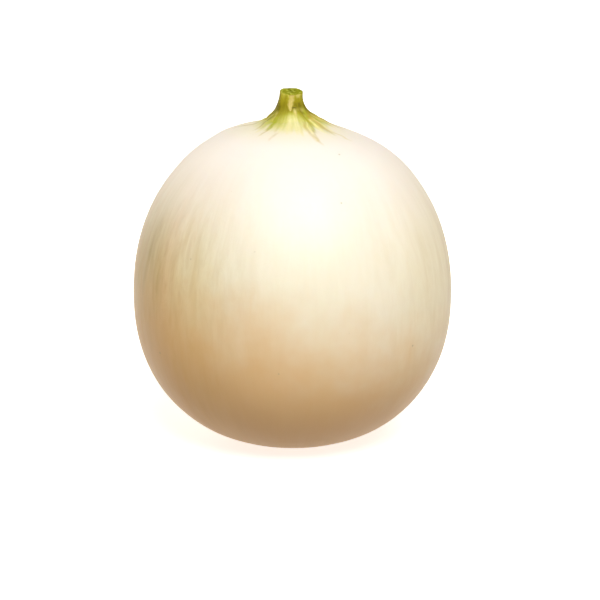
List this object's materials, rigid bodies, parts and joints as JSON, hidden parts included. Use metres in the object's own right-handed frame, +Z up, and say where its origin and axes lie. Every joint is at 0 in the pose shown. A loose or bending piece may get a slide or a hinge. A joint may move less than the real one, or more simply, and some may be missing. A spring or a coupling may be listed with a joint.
{
  "type": "honeydew melon",
  "caption": "Whole round cream-white honeydew melon, smooth satin rind, short cut green stem with a ribbed flaring foot; stands on a small flat spot at its blossom end.",
  "frame": {"origin": "on the surface the melon stands on, under the middle of the fruit", "axes": "+Z up through the stem, -Z out of the flat spot at the blossom end, -Y towards the viewer of the picture, +X to that viewer's right"},
  "size_m": [0.1578, 0.1559, 0.1762],
  "materials": {
    "rind": "satin",
    "stem": "matte"
  },
  "bodies": {
    "root": {"fruit": "rind", "stem": "stem"}
  },
  "joints": []
}
